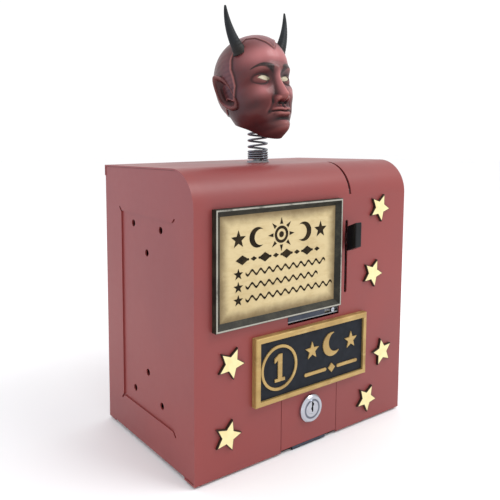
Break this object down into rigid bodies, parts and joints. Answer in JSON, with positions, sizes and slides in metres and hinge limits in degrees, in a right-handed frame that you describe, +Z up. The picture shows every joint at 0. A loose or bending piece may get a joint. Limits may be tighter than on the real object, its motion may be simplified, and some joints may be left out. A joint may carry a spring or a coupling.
{
  "type": "mechanical coin bank",
  "caption": "Free-standing sheet-metal coin bank with a press lever that issues a card, a locked coin door and a horned head that nods on a coil spring.",
  "frame": {"origin": "centre of the base plate's underside", "axes": "+Z up, -Y out of the front with the sign, the lever and the door"},
  "size_m": [0.222, 0.1574, 0.3596],
  "materials": {
    "case_paint": "satin brick-red paint",
    "base_black": "matt black paint",
    "zinc": "zinc-plated steel",
    "frame_grey": "worn dark grey-green paint with a bright edge",
    "parchment": "aged parchment card",
    "gold": "satin gold",
    "navy": "matt blue-black",
    "cream": "cream enamel, dark edge",
    "chrome": "polished chrome",
    "knob_black": "black plastic",
    "card": "printed card stock, blank",
    "head_red": "hand-painted red resin, brown in the hollows",
    "horn_black": "black-grey resin"
  },
  "bodies": {
    "case": {"base_plate": "base_black", "base_screws": "zinc", "bearing_plate": "zinc", "cam_strike": "zinc", "card_gate": "chrome", "card_gate_screw": "chrome", "card_magazine": "zinc", "card_stack": "card", "case_wrap": "case_paint", "coin_bin": "zinc", "coin_chute": "zinc", "crank_shaft": "zinc", "door_hinge_fixed_leaf": "zinc", "door_hinge_pin": "zinc", "head_post": "zinc", "head_post_nut": "zinc", "left_side_infill": "case_paint", "left_side_panel": "case_paint", "lever_return_spring": "zinc", "lever_shaft": "zinc", "magazine_post": "zinc", "name_plate_field": "navy", "name_plate_frame": "gold", "name_plate_relief": "gold", "rear_cover": "case_paint", "rear_cover_screws": "zinc", "right_side_infill": "case_paint", "right_side_panel": "case_paint", "shaft_clips": "zinc", "sign_card": "parchment", "sign_frame": "frame_grey", "spring_anchor_pin": "zinc", "spring_base_turns": "chrome", "star_1": "cream", "star_2": "cream", "star_3": "cream", "star_4": "cream", "star_5": "cream", "star_6": "cream"},
    "coin_door": {"coin_door": "case_paint", "door_hinge_leaf": "zinc", "lock_barrel": "chrome", "lock_nut": "zinc"},
    "lock": {"lock_plug": "chrome", "lock_cam": "zinc", "lock_cam_screw": "zinc"},
    "lever": {"lever_arm": "zinc", "lever_knob": "knob_black", "lever_pins": "zinc"},
    "crank": {"bell_crank": "zinc", "crank_pin": "zinc"},
    "card_pusher": {"card_pusher": "zinc", "issued_card": "card"},
    "stack_weight": {"stack_weight": "zinc"},
    "spring_lower": {"spring_lower_turns": "chrome"},
    "spring_middle": {"spring_middle_turns": "chrome"},
    "head": {"spring_upper_turns": "chrome", "head": "head_red", "left_horn": "horn_black", "right_horn": "horn_black"}
  },
  "joints": [
    {"name": "coin_door_hinge", "type": "hinge", "parent": "case", "child": "coin_door", "pos_m": [0, -0.0696, 0.0019], "axis": [1, 0, 0], "range_deg": [0, 80]},
    {"name": "lock_turn", "type": "hinge", "parent": "coin_door", "child": "lock", "pos_m": [0, -0.06, 0.0335], "axis": [0, 1, 0], "range_deg": [-90, 0]},
    {"name": "lever_press", "type": "hinge", "parent": "case", "child": "lever", "pos_m": [0.0384, -0.001, 0.144], "axis": [1, 0, 0], "range_deg": [0, 29], "stiffness_Nm_per_rad": 0.25, "springref_deg": -20.05, "deforming": ["lever_return_spring"]},
    {"name": "crank_swing", "type": "hinge", "parent": "case", "child": "crank", "pos_m": [0.036, 0.05, 0.144], "axis": [1, 0, 0], "range_deg": [-26, 0]},
    {"name": "card_push", "type": "slide", "parent": "case", "child": "card_pusher", "axis": [0, -1, 0], "range_m": [0, 0.0178]},
    {"name": "stack_weight_lift", "type": "slide", "parent": "case", "child": "stack_weight", "axis": [0, 0, 1], "range_m": [0, 0.03]},
    {"name": "head_bob", "type": "slide", "parent": "case", "child": "spring_lower", "axis": [0, 0.0317, 0.9995], "range_m": [-0.004, 0.003], "stiffness_N_per_m": 2500, "deforming": ["spring_lower_turns"]},
    {"name": "head_nod", "type": "hinge", "parent": "spring_lower", "child": "spring_middle", "pos_m": [0, 0.00054, 0.24519], "axis": [1, 0, 0], "range_deg": [-10, 10], "stiffness_Nm_per_rad": 2, "deforming": ["spring_middle_turns"]},
    {"name": "head_sway", "type": "hinge", "parent": "spring_middle", "child": "head", "pos_m": [0, 0.00075, 0.25194], "axis": [0, 1, 0], "range_deg": [-10, 10], "stiffness_Nm_per_rad": 2, "deforming": ["spring_upper_turns"]}
  ],
  "couplings": [
    {"joint": "crank_swing", "follows": "lever_press", "ratio": -0.89625},
    {"joint": "card_push", "follows": "lever_press", "m_per_rad": 0.035026}
  ]
}
